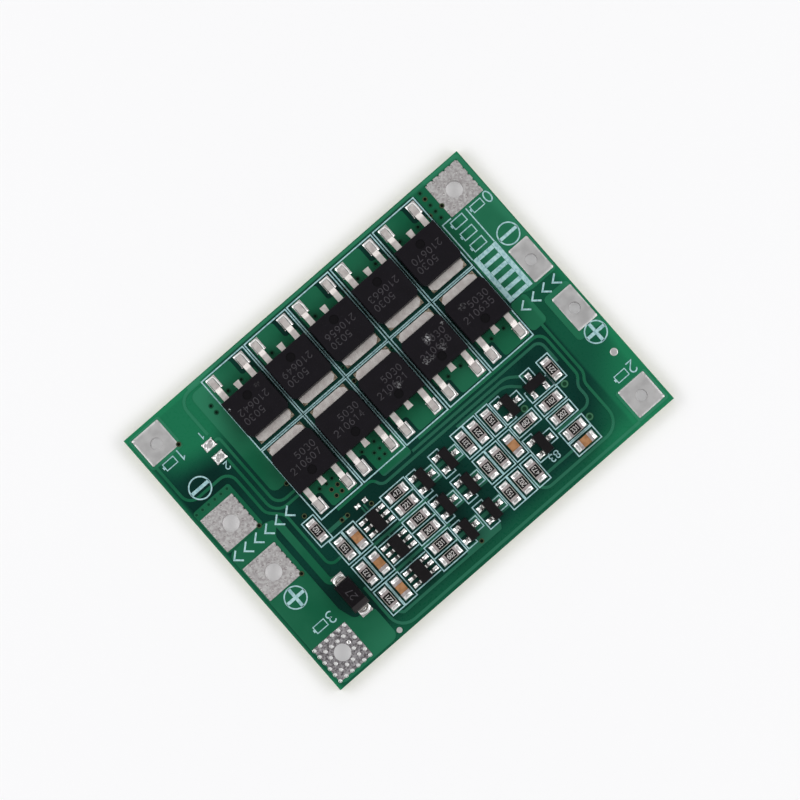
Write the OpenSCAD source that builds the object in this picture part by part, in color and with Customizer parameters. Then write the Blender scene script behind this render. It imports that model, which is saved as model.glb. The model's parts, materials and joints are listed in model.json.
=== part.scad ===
// Battery management board for three lithium cells in series.
// A glass-epoxy circuit board with eight tinned wire pads, two rows of power
// transistors in TO-252 packages and a field of small surface-mount parts.
//
// Frame: the origin is the middle of the board's underside. +X runs along the
// length, from the discharge end to the charge end. +Y runs from the small
// parts to the power transistors. +Z points out of the component side.

/* [Board] */
// Length of the board along X
board_l = 55; // [55:0.5:60]
// Width of the board along Y
board_w = 41; // [41:0.5:46]
// Thickness of the laminate with its solder mask
board_t = 1.6; // [1:0.2:2.4]
// Height of the copper foil, as it stands up under the solder mask
copper_t = 0.05; // [0.03:0.01:0.08]
// Width of a signal track
track_w = 0.38; // [0.25:0.01:0.45]
// Radius of an open via
via_r = 0.2; // [0.12:0.01:0.22]

/* [Wire pads] */
// Height of the tinned pads above the board
pad_h = 0.08; // [0.06:0.01:0.2]
// Radius of the wire holes in the battery and discharge pads
main_hole_r = 1.1; // [0.8:0.05:1.2]
// Radius of the wire holes in the charge and balance pads
sense_hole_r = 0.75; // [0.5:0.05:0.85]
// Thickness of the plating in a wire hole
plating_t = 0.05; // [0.03:0.01:0.08]
// Pitch of the vias that stitch the large pads
stitch_pitch = 1; // [0.9:0.05:1.1]
// Pitch of the open vias in the battery + pad
via_pitch = 0.98; // [0.9:0.01:1]

/* [Power transistors] */
// Distance between neighbours in a row
power_pitch = 7.11; // [6.9:0.01:7.3]
// Length of the moulded body, from the leads to the tab
power_l = 5.9; // [5.6:0.05:6.2]
// Width of the moulded body
power_w = 6.5; // [6.2:0.05:6.7]
// Height of the moulded body
power_h = 2.3; // [2.1:0.05:2.4]
// Thickness of the tab and leads
power_lead_t = 0.5; // [0.4:0.05:0.6]
// Distance from the middle lead to an outer lead
power_lead_x = 2.286; // [2.2:0.01:2.4]

/* [Small parts] */
// Distance between the three rows of small parts
row_pitch = 4.15; // [4.05:0.05:4.25]
// Length of a chip resistor or capacitor
chip_l = 2; // [1.9:0.05:2.1]
// Width of a chip resistor or capacitor
chip_w = 1.25; // [1.15:0.05:1.35]
// Height of a chip resistor
resistor_h = 0.5; // [0.4:0.05:0.65]
// Height of a chip capacitor
capacitor_h = 0.9; // [0.6:0.05:1.2]
// Lead pitch of the small moulded packages
sot_pitch = 0.95; // [0.9:0.01:1]

/* [Hidden] */
$fn = 48;
EPS = 0.01;

// Heights of the surfaces that things stand on
land_z = board_t + copper_t;
pad_z = board_t + pad_h;

// Rows of small parts, from the power transistors outwards
row_y = [for (i = [0:2]) -7.65 - i * row_pitch];

// Wire pads: x from, x to, y from, y to, hole x, hole y, hole radius, and
// whether its right and top edges are notched by stitching vias
BATTERY_PLUS = [-26.85, -21.55, -19.75, -14.45, -24.25, -17.15, main_hole_r, false];
BALANCE_HIGH = [22.65, 26.85, -19.6, -15.35, 24.7, -17.55, sense_hole_r, false];
BALANCE_LOW = [-26.85, -22.55, 15.6, 19.85, -24.65, 17.6, sense_hole_r, false];
BATTERY_MINUS = [21.55, 26.8, 14.6, 19.8, 24.15, 17.1, main_hole_r, true];
DISCHARGE_PLUS = [-26.85, -21.6, -6.5, -1.2, -24.15, -4, main_hole_r, true];
DISCHARGE_MINUS = [-26.85, -21.6, 1.55, 6.8, -24.15, 4.05, main_hole_r, true];
CHARGE_PLUS = [24.1, 27.2, -6.5, -1.25, 25.65, -3.9, sense_hole_r, false];
CHARGE_MINUS = [24, 27.1, 1.65, 6.85, 25.55, 4.2, sense_hole_r, false];
WIRE_PADS = [
    BATTERY_PLUS, BALANCE_HIGH, BALANCE_LOW, BATTERY_MINUS,
    DISCHARGE_PLUS, DISCHARGE_MINUS, CHARGE_PLUS, CHARGE_MINUS
];
notch_r = 0.14;
// Thickness to which solder thins out at the edge of its land
solder_edge_t = 0.02;

// Open vias through the battery + pad: a square grid, left out round the wire
open_vias = [
    for (i = [0:5], j = [0:5])
        let (x = -26.75 + i * via_pitch, y = -19.62 + j * via_pitch)
        if (norm([x - BATTERY_PLUS[4], y - BATTERY_PLUS[5]]) > main_hole_r + 2 * via_r
            && x > BATTERY_PLUS[0] && x < BATTERY_PLUS[1]) [x, y]
];

// Power transistors: x, y, turn. Numbers 1 to 5 have their leads towards -Y
// and 6 to 10 towards +Y, so that the two rows stand tab to tab.
power_x = [for (i = [-2:2]) 2.07 + i * power_pitch];
power_row_y = [3.95, 12.96];
POWER = [for (r = [0, 1], x = power_x) [x, power_row_y[r], 180 * r]];
// The lands sit this far to the right of the parts that were placed on them
power_land_shift = 0.1;

// Small moulded packages: x, y, turn, with the single lead towards +X
TRANSISTORS = [
    for (x = [-2.43, 1.45], y = row_y) [x, y, 0],
    [11.57, -7.75, 0],
    [11.57, -13.95, 0],
    [15.65, -7.7, 90]
];
PROTECTION = [for (y = row_y) [-10.3, y, 0]];
DIODE = [-18.65, -12.5, 90];

// Chips: x, y, turn
chip_pair_dy = 0.96;
RESISTORS = [
    for (y = row_y) [-15.54, y, 90],
    for (y = row_y, side = [1, -1]) [-6.2, y + side * chip_pair_dy, 0],
    for (x = [4.38, 6.38], y = row_y) [x, y, 90],
    [8.6, row_y[0], 90],
    [8.6, row_y[2], 90],
    [11.6, -10.65, 0],
    for (y = [-10.7, -12.85, -15.25]) [15.7, y, 0],
    [18.45, -7.7, 90],
    [-16.7, -3.7, 90]
];
CAPACITORS = [
    for (y = row_y) [-13.5, y, 90],
    [8.6, row_y[1], 90],
    [15.7, -17.25, 0]
];

// ---- Curves and profiles ----------------------------------------------------

// Points of an arc about c, from angle a to angle b, in n steps
function arc(c, r, a, b, n = 6) =
    [for (i = [0:n]) let (t = a + (b - a) * i / n) c + r * [cos(t), sin(t)]];

// A corner q between p and s, rounded to radius r where there is room for it
function corner(p, q, s, r) =
    let (u = (p - q) / norm(p - q), v = (s - q) / norm(s - q),
         half = acos(max(-1, min(1, u * v))) / 2,
         reach = min(r / tan(half), 0.48 * norm(p - q), 0.48 * norm(s - q)),
         c = q + (u + v) / norm(u + v) * reach / cos(half),
         from = q + u * reach - c,
         to = q + v * reach - c,
         a = atan2(from[1], from[0]),
         swing = atan2(to[1], to[0]) - a,
         turn = swing > 180 ? swing - 360 : swing < -180 ? swing + 360 : swing)
    half > 89.5 ? [q] : arc(c, norm(from), a, a + turn);

// A closed outline with every corner rounded
function rounded(p, r) =
    let (n = len(p))
    [for (i = [0:n - 1]) each corner(p[(i + n - 1) % n], p[i], p[(i + 1) % n], r)];

// An open path with its inner corners rounded
function eased(p, r) =
    let (n = len(p))
    [for (i = [0:n - 1]) each (i == 0 || i == n - 1) ? [p[i]]
        : corner(p[i - 1], p[i], p[i + 1], r)];

// One edge of a ribbon of half width h along path p
function edge(p, h) =
    let (n = len(p))
    [for (i = [0:n - 1])
        let (a = p[max(i - 1, 0)], b = p[min(i + 1, n - 1)],
             d = (b - a) / norm(b - a))
        p[i] + h * [-d[1], d[0]]];

// The points of a list, last one first
function reversed(p) = [for (i = [len(p) - 1:-1:0]) p[i]];

// Side view of a gull-wing lead of thickness t: it runs out at height z to
// x = knee, slopes down by angle a and lies flat on the land as far as x = tip.
// The bends have a mean radius r.
function gull_wing(root, knee, tip, z, t, a, r) =
    let (reach = r * tan(a / 2),
         drop = z - t / 2,
         foot = knee + drop / tan(a),
         upper = [knee - reach, z - r],
         lower = [foot + reach, t / 2 + r])
    concat(
        [[root, z + t / 2]],
        arc(upper, r + t / 2, 90, 90 - a),
        arc(lower, r - t / 2, 270 - a, 270),
        [[tip, t], [tip, 0]],
        arc(lower, r + t / 2, 270, 270 - a),
        arc(upper, r - t / 2, 90 - a, 90),
        [[root, z - t / 2]]
    );

// ---- Shapes that repeat -----------------------------------------------------

// A rectangle between two corners
module field(x0, x1, y0, y1) {
    translate([x0, y0]) square([x1 - x0, y1 - y0]);
}

// A block from a centre line outwards: centred in x and y, standing on z
module block(l, w, h, z = 0) {
    translate([-l / 2, -w / 2, z]) cube([l, w, h]);
}

// A profile drawn in x and z, given a width w across y
module across(w) {
    translate([0, w / 2, 0]) rotate([90, 0, 0]) linear_extrude(w) children();
}

// Puts a child at a place given as x, y, turn on the surface of height z
module placed(p, z) {
    translate([p[0], p[1], z]) rotate(p[2]) children();
}

// Outline of half a moulding: straight draft below and above the parting line
// and a small bevel round the top
module draft_outline(w, h, parting, draft, bevel) {
    polygon([
        [-w / 2 + draft, 0], [w / 2 - draft, 0], [w / 2, parting],
        [w / 2 - draft, h - bevel], [w / 2 - draft - bevel, h],
        [-w / 2 + draft + bevel, h], [-w / 2 + draft, h - bevel], [-w / 2, parting]
    ]);
}

// A moulded body whose four sides all lean in, l along x and w along y
module moulding(l, w, h, parting, draft, bevel) {
    intersection() {
        across(w + 1) draft_outline(l, h, parting, draft, bevel);
        rotate(90) across(l + 1) draft_outline(w, h, parting, draft, bevel);
    }
}

// A concave solder fillet in side view, h high at x = 0 and running out to l
module fillet_profile(l, h) {
    polygon(concat([[0, 0]], [for (t = [0:0.2:1])
        [l * t, h * pow(1 - t, 2) + solder_edge_t * t]], [[l, 0]]));
}

// ---- Circuit board ----------------------------------------------------------

// Outline of a wire pad: notched by the stitching vias at its right and top
module wire_pad_outline(p) {
    difference() {
        field(p[0], p[1], p[2], p[3]);
        if (p[7]) {
            for (y = [p[2] + 0.85:stitch_pitch:p[3] - 0.3])
                translate([p[1], y]) circle(notch_r, $fn = 16);
            for (x = [p[0] + 1.15:stitch_pitch:p[1] - 0.3])
                translate([x, p[3]]) circle(notch_r, $fn = 16);
        }
    }
}

module open_via_holes() {
    for (v = open_vias)
        translate([v[0], v[1], -1]) cylinder(r = via_r, h = board_t + 2, $fn = 20);
}

module printed_board() {
    color([0.04, 0.25, 0.19]) difference() {
        block(board_l, board_w, board_t);
        for (p = WIRE_PADS) {
            translate([p[4], p[5], -1]) cylinder(r = p[6] + plating_t, h = board_t + 2);
            translate([0, 0, -copper_t]) linear_extrude(2 * copper_t)
                field(p[0], p[1], p[2], p[3]);
        }
        open_via_holes();
    }
}

// A wire pad: tinned faces on both sides of the board and a plated hole
module wire_pad(p) {
    color([0.68, 0.67, 0.66]) difference() {
        union() {
            translate([0, 0, board_t]) linear_extrude(pad_h) wire_pad_outline(p);
            translate([p[4], p[5], 0]) cylinder(r = p[6] + plating_t, h = pad_z);
            linear_extrude(copper_t) field(p[0], p[1], p[2], p[3]);
        }
        translate([p[4], p[5], -1]) cylinder(r = p[6], h = pad_z + 2);
        if (p == BATTERY_PLUS) open_via_holes();
    }
}

// ---- Copper under the solder mask -------------------------------------------

// A track of width w through points p, with its bends eased to radius r
module track(p, w = track_w, r = 1.6) {
    way = eased(p, r);
    polygon(concat(edge(way, w / 2), reversed(edge(way, -w / 2))));
}

// A pour of copper with rounded corners
module pour(p, r = 0.4) {
    polygon(rounded(p, r));
}

// Copper that spreads the pack's current from the left-hand pads
module left_pours() {
    pour([[-27, 8.05], [-21.1, 8.05], [-21.1, 1.35], [-27, 1.35]]);
    pour([[-27, 1.3], [-20.9, 1.3], [-19.9, 0.9], [-19.9, 0.3], [-21.05, -0.9],
        [-21.05, -12.8], [-20.3, -15.1], [-17.6, -15.1], [-17.6, -20.2], [-27, -20.2]], 1);
    pour([[-17.7, 19.3], [-15.6, 19.3], [-12.9, 19.3], [-12.9, 16.2], [-15.3, 16.2],
        [-15.3, 3.3], [-17.7, 3.3]], 0.9);
    pour([[-27.2, 20.1], [-22.2, 20.1], [-22.2, 15.2], [-27.2, 15.2]]);
}

// Copper that joins the power transistors and the right-hand pads
module right_pours() {
    pour([[-17.3, 20.4], [27.35, 20.4], [27.35, 1.3], [23.3, 1.3], [19.75, 2.4],
        [19.75, 20], [-17.3, 20]], 0.6);
    pour([[19.75, 1.7], [22.2, 1.7], [22.2, -2.8], [19.75, -2.8]], 0.6);
    pour([[23.3, -0.5], [27.2, -0.5], [27.2, -7.5], [23.3, -7.5]], 0.6);
    pour([[22.3, -15.2], [27.2, -15.2], [27.2, -20], [22.3, -20]]);
}

// Copper that carries the source's current away between the outer leads, and
// leaves the gate's land clear
module lead_pour(place, turn = 0) {
    translate(place) rotate(turn) pour([
        [-3, 1.6], [3, 1.6], [3, -2.8], [-1.15, -2.8], [-1.15, -0.25], [-3, -0.25]
    ]);
}

// Copper between the outer leads of every power transistor
module lead_pours() {
    for (x = power_x) {
        lead_pour([x + power_land_shift, 0]);
        lead_pour([x, 16.75], 180);
    }
    pour([[-6.1, -0.6], [-1.4, -0.6], [-1.4, -4.15], [-6.1, -4.15]]);
}

// Signal tracks left of the power transistors, and along the top edge
module left_tracks() {
    track([[-15.4, 19.85], [-19.1, 19.85], [-19.1, 14.2]], r = 1.9);
    track([[-19.2, 13.1], [-18.3, 13.1], [-18.3, 1.9], [-15.4, 1.9]], r = 2.6);
    track([[-19.2, 10.4], [-19.2, 1.15], [-15.4, 1.15]], r = 3.2);
    track([[-26.6, 15.3], [-26.6, 9.1], [-20.1, 9.1], [-20.1, 2.2], [-18.35, 0.4],
        [-18.35, -8.1], [-16.3, -8.1]], r = 1.5);
    track([[-19.75, 0.6], [-19.75, -9.4], [-18.7, -9.9]], w = 0.95, r = 0.6);
    track([[-16.95, -12.8], [-16.95, -19.9], [22.4, -19.9]], r = 2.2);
    track([[-16.3, -17.1], [-15.2, -18.4], [-4, -18.4]], r = 0.5);
    track([[-15.7, -4.78], [-12.4, -4.78]], w = 0.55);
}

// Signal tracks that run under and round the small parts
module control_tracks() {
    track([[-13.1, -3.4], [-7.4, -3.4], [-6.9, -4.78], [13.4, -4.78], [15.3, -6.2]], r = 2.4);
    track([[-1.3, -4.05], [19.65, -4.05], [19.65, -7.5]], r = 1);
    track([[0.3, -3.35], [20.45, -3.35], [20.45, -10.4], [19.5, -11.5], [19.5, -14.1],
        [13.8, -14.1]], r = 1.3);
    track([[21.2, -2.6], [21.2, -10.7], [20.45, -11.6], [20.45, -18.6], [7.9, -18.6],
        [7.4, -16.4]], r = 2.4);
    track([[4.8, -5.45], [12.6, -5.45], [14.2, -7]], r = 2.4);
    track([[9.3, -17.1], [14.2, -17.1]]);
    track([[-12.7, -9.7], [-3.7, -9.7]]);
    track([[-12.7, -13.9], [-3.7, -13.9]]);
    for (y = [-9.6, -13.8]) track([[-10.3, y], [-10.3, y - 0.9]], w = 0.3);
    for (x = [-10.65, -10.2]) track([[x, -5], [x, -6.1]], w = 0.25);
    for (y = row_y) {
        track([[-4.6, y + 0.05], [-3, y + 0.05]], w = 0.5);
        track([[-0.9, y + 0.05], [0.9, y + 0.05]], w = 0.5);
    }
    for (x = [-2.43, 1.45], y = row_y)
        pour([[x + 0.6, y + 0.95], [x + 2, y + 0.95], [x + 2, y - 1.25], [x + 0.6, y - 1.25]], 0.2);
    pour([[-4.5, -18.6], [0.7, -18.6], [1.05, -18.1], [1.05, -17.9], [-0.5, -17.8], [-0.5, -16.9],
        [-2.4, -16.9], [-2.4, -17.6], [-4.5, -17.6]], 0.25);
}

module top_copper() {
    color([0.11, 0.43, 0.29]) translate([0, 0, board_t]) linear_extrude(copper_t)
        difference() {
            union() {
                left_pours();
                right_pours();
                lead_pours();
                left_tracks();
                control_tracks();
            }
            for (p = WIRE_PADS) field(p[0], p[1], p[2], p[3]);
            land_outlines();
        }
}

// ---- Solder lands -----------------------------------------------------------

// Sizes of the lands, in each package's own frame
chip_land_x = [0.64, 1.58];
chip_land_w = 1.32;
sot_land_x = [0.66, 1.6];
sot_land_w = 0.78;
six_land_x = [1, 1.98];
six_land_w = 0.58;
diode_land_x = [1.55, 3.12];
diode_land_w = 1.7;
power_land_y = [-6.5, -4.6];
power_land_w = 1.4;
tab_land = [5.4, 5.1];
JUMPERS = [
    [-20.65, -18.95, 12.53, 13.78], [-20.65, -18.95, 10.5, 11.8],
    [-11.35, -10.55, -5.08, -4.43], [-10.1, -9.4, -5.1, -4.4]
];
TEST_POINTS = [[25.7, -11.25, 0.5], [-17.1, -19.7, 0.37]];

// Two lands along x, one on each side of the middle
module land_pair(x, w) {
    for (side = [0, 180]) rotate(side) translate([x[0], -w / 2]) square([x[1] - x[0], w]);
}

module sot_lands() {
    translate([sot_land_x[0], -sot_land_w / 2]) square([sot_land_x[1] - sot_land_x[0], sot_land_w]);
    for (y = [-sot_pitch, sot_pitch]) translate([-sot_land_x[1], y - sot_land_w / 2])
        square([sot_land_x[1] - sot_land_x[0], sot_land_w]);
}

module six_lands() {
    for (y = [-sot_pitch, 0, sot_pitch]) translate([0, y]) land_pair(six_land_x, six_land_w);
}

module power_lands() {
    for (x = [-power_lead_x, power_lead_x])
        translate([x - power_land_w / 2, power_land_y[0]])
            square([power_land_w, power_land_y[1] - power_land_y[0]]);
    translate([-tab_land[0] / 2, -1.6]) square(tab_land);
}

// Puts a flat child at a place given as x, y, turn
module drawn(p, shift = 0) {
    translate([p[0] + shift, p[1]]) rotate(p[2]) children();
}

module land_outlines() {
    for (p = concat(RESISTORS, CAPACITORS)) drawn(p) land_pair(chip_land_x, chip_land_w);
    for (p = TRANSISTORS) drawn(p) sot_lands();
    for (p = PROTECTION) drawn(p) six_lands();
    for (p = POWER) drawn(p, power_land_shift) power_lands();
    drawn(DIODE) land_pair(diode_land_x, diode_land_w);
    for (j = JUMPERS) field(j[0], j[1], j[2], j[3]);
    for (t = TEST_POINTS) translate([t[0], t[1]]) circle(t[2]);
}

// Solder that climbs each end of a chip of height h
module chip_fillets(h) {
    for (side = [0, 180]) rotate(side) translate([chip_l / 2, 0, 0])
        across(chip_w - 0.1) fillet_profile(chip_land_x[1] - chip_l / 2 - 0.06, h);
}

// Solder in front of a foot whose toe is at x, on a land that ends at l
module toe_fillet(x, l, w, h) {
    translate([x, 0, 0]) across(w) fillet_profile(l - x - 0.05, h);
}

module component_lands() {
    color([0.86, 0.86, 0.85]) {
        translate([0, 0, board_t]) linear_extrude(copper_t) land_outlines();
        for (p = RESISTORS) placed(p, land_z) chip_fillets(resistor_h * 0.8);
        for (p = CAPACITORS) placed(p, land_z) chip_fillets(capacitor_h * 0.6);
        for (p = POWER, side = [-1, 1]) placed(p, land_z)
            translate([side * power_lead_x, 0, 0]) rotate(-90)
                toe_fillet(power_tip, -power_land_y[0], power_lead_w, power_lead_t * 0.7);
        placed(DIODE, land_z) for (side = [0, 180]) rotate(side)
            toe_fillet(diode_l / 2 + diode_lead_t + diode_gap, diode_land_x[1], diode_lead_w, 0.7);
    }
}

// ---- Power transistors ------------------------------------------------------

power_lead_w = 0.8;
power_lead_z = 1.25;
power_knee = 4.2;
power_tip = 6.12;
power_parting = 1;
power_cut = [0.55, 0.75];
tab_w = 5.3;
tab_y = [-1.3, 4];
tab_cut = [0.6, 0.5];
stub_end = 3.85;
stub_w = [0.68, 0.88];
riser_x = 1.3;
riser_slope = 0.8;
riser_back = 0.2;
lead_root = 2;
ejector_r = 0.6;

// Side view of the drain: the heat tab, its riser and the cropped middle lead.
// It is drawn with the leads towards +x.
module drain_profile() {
    t = power_lead_t;
    low = power_lead_z - t / 2;
    top = riser_x + low * riser_slope;
    polygon([
        [tab_y[0], 0], [riser_x, 0], [top, low], [stub_end, low],
        [stub_end, low + t], [top - riser_back, low + t],
        [riser_x - riser_back, t], [tab_y[0], t]
    ]);
}

// The heat tab seen from above, with its two tip corners cut off
module tab_outline() {
    w = tab_w / 2;
    polygon([
        [-w, tab_y[0]], [w, tab_y[0]], [w, tab_y[1] - tab_cut[1]],
        [w - tab_cut[0], tab_y[1]], [tab_cut[0] - w, tab_y[1]], [-w, tab_y[1] - tab_cut[1]]
    ]);
}

// The middle lead seen from above: it widens to its cropped end
module stub_outline() {
    y = [power_l / 2, stub_end + EPS];
    polygon([
        [-stub_w[0] / 2, 1], [-stub_w[0] / 2, -y[0]], [-stub_w[1] / 2, -y[1]],
        [stub_w[1] / 2, -y[1]], [stub_w[0] / 2, -y[0]], [stub_w[0] / 2, 1]
    ]);
}

// The three metal pieces of a TO-252: drain with its tab, gate and source
module power_metal() {
    linear_extrude(power_lead_t) tab_outline();
    intersection() {
        rotate(-90) across(power_lead_w + 1) drain_profile();
        translate([0, 0, -EPS]) linear_extrude(power_h) stub_outline();
    }
    for (x = [-power_lead_x, power_lead_x]) translate([x, 0, 0]) rotate(-90)
        across(power_lead_w) polygon(gull_wing(lead_root, power_knee, power_tip,
            power_lead_z, power_lead_t, 68, 0.45));
}

// The moulding seen from above: its two corners beside the tab are cut off
module power_outline() {
    x = power_w / 2;
    y = power_l / 2;
    side = y - power_cut[1] * (1 + 1 / power_cut[0]);
    end = x - power_cut[0] * (1 + 1 / power_cut[1]);
    polygon([
        [-x - 1, -y - 1], [x + 1, -y - 1], [x + 1, side], [end, y + 1], [-end, y + 1],
        [-x - 1, side]
    ]);
}

module power_package(i) {
    color([0.11, 0.1, 0.12]) placed(POWER[i], land_z) difference() {
        intersection() {
            rotate(90) moulding(power_l, power_w, power_h, power_parting, 0.12, 0.06);
            translate([0, 0, -1]) linear_extrude(power_h + 2) power_outline();
        }
        power_metal();
        translate([0, -1.6, power_h - 0.1]) cylinder(r = ejector_r, h = 1);
    }
}

module power_leadframe(i) {
    color([0.72, 0.69, 0.67]) placed(POWER[i], land_z) power_metal();
}

// ---- Small moulded packages -------------------------------------------------

sot_l = 2.9;
sot_h = 1;
sot_gap = 0.08;
sot_lead_t = 0.13;
sot_lead_w = 0.4;
sot_lead_z = 0.55;
sot_w = 1.3;
sot_tip = 1.2;
six_w = 1.6;
six_tip = 1.4;

// One gull-wing lead of a small package whose body is w wide
module sot_lead(w, tip) {
    across(sot_lead_w) polygon(gull_wing(w / 2 - 0.25, w / 2 + 0.1, tip,
        sot_lead_z, sot_lead_t, 75, 0.1));
}

module sot_metal() {
    sot_lead(sot_w, sot_tip);
    for (y = [-sot_pitch, sot_pitch]) translate([0, y, 0]) rotate(180)
        sot_lead(sot_w, sot_tip);
}

module six_metal() {
    for (side = [0, 180], y = [-sot_pitch, 0, sot_pitch])
        rotate(side) translate([0, y, 0]) sot_lead(six_w, six_tip);
}

module small_body(w) {
    translate([0, 0, sot_gap]) moulding(w, sot_l, sot_h, sot_lead_z - sot_gap, 0.07, 0.05);
}

module protection_chip(i) {
    color([0.13, 0.12, 0.13]) placed(PROTECTION[i], land_z) difference() {
        small_body(six_w);
        six_metal();
        translate([-0.45, 1.05, sot_gap + sot_h - 0.05]) cylinder(r = 0.16, h = 1);
    }
}

module protection_leads(i) {
    color([0.8, 0.79, 0.77]) placed(PROTECTION[i], land_z) six_metal();
}

module transistor(i) {
    color([0.12, 0.11, 0.12]) placed(TRANSISTORS[i], land_z) difference() {
        small_body(sot_w);
        sot_metal();
    }
}

module transistor_leads(i) {
    color([0.8, 0.79, 0.77]) placed(TRANSISTORS[i], land_z) sot_metal();
}

// ---- Diode ------------------------------------------------------------------

diode_l = 4.2;
diode_w = 2.4;
diode_h = 2;
diode_gap = 0.06;
diode_lead_t = 0.2;
diode_lead_w = 1.45;
diode_lead_z = 1.05;

// Side view of a lead that leaves the diode at the parting line, goes down
// its end and folds under it
module diode_lead_profile() {
    out = diode_l / 2 + diode_gap;
    t = diode_lead_t;
    z = diode_lead_z;
    polygon(concat(
        [[out - 0.6, z + t / 2]],
        arc([out - 0.1, z - 0.2], 0.3, 90, 0),
        arc([out - 0.1, 0.3], 0.3, 0, -90),
        [[out - 0.9, 0], [out - 0.9, t]],
        arc([out - 0.1, 0.3], 0.1, -90, 0),
        arc([out - 0.1, z - 0.2], 0.1, 0, 90),
        [[out - 0.6, z - t / 2]]
    ));
}

module diode_metal() {
    for (side = [0, 180]) rotate(side) across(diode_lead_w) diode_lead_profile();
}

module diode_body() {
    color([0.07, 0.06, 0.07]) placed(DIODE, land_z) difference() {
        translate([0, 0, diode_lead_t + diode_gap]) moulding(diode_l, diode_w, diode_h,
            diode_lead_z - diode_lead_t - diode_gap, 0.14, 0.06);
        diode_metal();
    }
}

module diode_leads() {
    color([0.78, 0.77, 0.75]) placed(DIODE, land_z) diode_metal();
}

// ---- Chips ------------------------------------------------------------------

terminal_t = 0.03;
terminal_l = 0.35;
capacitor_terminal_l = 0.42;
overglaze_t = 0.03;

// The ceramic of a resistor, with its black glaze between the terminals
module resistor_body() {
    t = terminal_t;
    block(chip_l - 2 * t, chip_w, resistor_h - 2 * t, t);
    block(chip_l - 2 * terminal_l, chip_w - 0.1, t + overglaze_t, resistor_h - t);
}

// A terminal folded round the end of a resistor: under, end and top
module resistor_terminals() {
    difference() {
        block(chip_l, chip_w, resistor_h);
        block(chip_l - 2 * terminal_t, chip_w + 1, resistor_h - 2 * terminal_t, terminal_t);
        block(chip_l - 2 * terminal_l, chip_w + 1, resistor_h + 1, -EPS);
    }
}

module capacitor_body() {
    t = terminal_t;
    block(chip_l - 2 * t, chip_w - 2 * t, capacitor_h - 2 * t, t);
}

// A capped end covers all five sides of a capacitor's end
module capacitor_terminals() {
    difference() {
        block(chip_l, chip_w, capacitor_h);
        capacitor_body();
        block(chip_l - 2 * capacitor_terminal_l, chip_w + 1, capacitor_h + 1, -EPS);
    }
}

module resistor_bodies() {
    color([0.09, 0.08, 0.08]) for (p = RESISTORS) placed(p, land_z) resistor_body();
}

module capacitor_bodies() {
    color([0.68, 0.46, 0.29]) for (p = CAPACITORS) placed(p, land_z) capacitor_body();
}

module chip_terminals() {
    color([0.76, 0.74, 0.72]) {
        for (p = RESISTORS) placed(p, land_z) resistor_terminals();
        for (p = CAPACITORS) placed(p, land_z) capacitor_terminals();
    }
}

// ---- Assembly ---------------------------------------------------------------

printed_board();
top_copper();
component_lands();
wire_pad(BATTERY_PLUS);  // battery_plus_pad
wire_pad(BALANCE_HIGH);  // balance_pad_high
wire_pad(BALANCE_LOW);  // balance_pad_low
wire_pad(BATTERY_MINUS);  // battery_minus_pad
wire_pad(DISCHARGE_PLUS);  // discharge_plus_pad
wire_pad(DISCHARGE_MINUS);  // discharge_minus_pad
wire_pad(CHARGE_PLUS);  // charge_plus_pad
wire_pad(CHARGE_MINUS);  // charge_minus_pad
for (i = [0:9]) {
    power_package(i);
    power_leadframe(i);
}
for (i = [0:2]) {
    protection_chip(i);
    protection_leads(i);
}
for (i = [0:8]) {
    transistor(i);
    transistor_leads(i);
}
diode_body();
diode_leads();
resistor_bodies();
capacitor_bodies();
chip_terminals();
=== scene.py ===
# %% [markdown]
# # Dressing a battery management board
#
# The frame is a flat green circuit board with eight wire pads, ten power transistors and a field
# of small parts. A solid model holds their forms. This lesson adds what catches the eye on the
# real board: solder that climbs the feet of the parts, dimpled wire pads, small vias, the printed
# legend, and a finish for every surface. All lengths are worked out in millimetres and turned
# into metres once, when a mesh is made.

# %% Load the fixed frame
import json

import bpy
import numpy as np
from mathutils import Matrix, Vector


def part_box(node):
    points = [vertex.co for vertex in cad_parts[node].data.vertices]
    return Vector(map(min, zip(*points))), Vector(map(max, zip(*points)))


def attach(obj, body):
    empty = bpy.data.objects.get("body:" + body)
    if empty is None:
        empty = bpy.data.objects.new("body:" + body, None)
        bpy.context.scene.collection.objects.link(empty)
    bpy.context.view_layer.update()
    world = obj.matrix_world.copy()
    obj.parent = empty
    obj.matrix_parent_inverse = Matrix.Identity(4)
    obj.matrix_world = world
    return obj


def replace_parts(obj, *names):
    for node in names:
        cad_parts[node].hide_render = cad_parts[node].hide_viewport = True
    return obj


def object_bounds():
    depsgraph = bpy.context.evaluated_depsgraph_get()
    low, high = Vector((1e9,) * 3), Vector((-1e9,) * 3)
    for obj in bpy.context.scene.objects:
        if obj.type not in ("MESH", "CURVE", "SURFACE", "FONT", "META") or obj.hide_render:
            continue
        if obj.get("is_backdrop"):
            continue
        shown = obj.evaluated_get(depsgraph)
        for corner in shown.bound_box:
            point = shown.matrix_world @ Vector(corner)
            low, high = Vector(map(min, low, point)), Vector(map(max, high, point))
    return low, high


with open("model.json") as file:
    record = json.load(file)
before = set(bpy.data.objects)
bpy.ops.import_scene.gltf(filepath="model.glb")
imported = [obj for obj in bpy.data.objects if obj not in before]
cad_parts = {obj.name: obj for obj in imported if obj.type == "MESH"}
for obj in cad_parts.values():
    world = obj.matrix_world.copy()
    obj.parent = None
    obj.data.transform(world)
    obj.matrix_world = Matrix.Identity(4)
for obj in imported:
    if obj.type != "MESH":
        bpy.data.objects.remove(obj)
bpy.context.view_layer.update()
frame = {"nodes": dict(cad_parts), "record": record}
nodes = frame["nodes"]
MM = 0.001
print("CAD nodes:", len(nodes))

# %% [markdown]
# ## Camera
#
# Small boards are looked at from almost straight above, through a long lens that keeps the edges
# nearly parallel. The board lies turned in the frame, so the camera is turned about its own line
# of sight and the board stays square with the axes, where its numbers are round.

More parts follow.
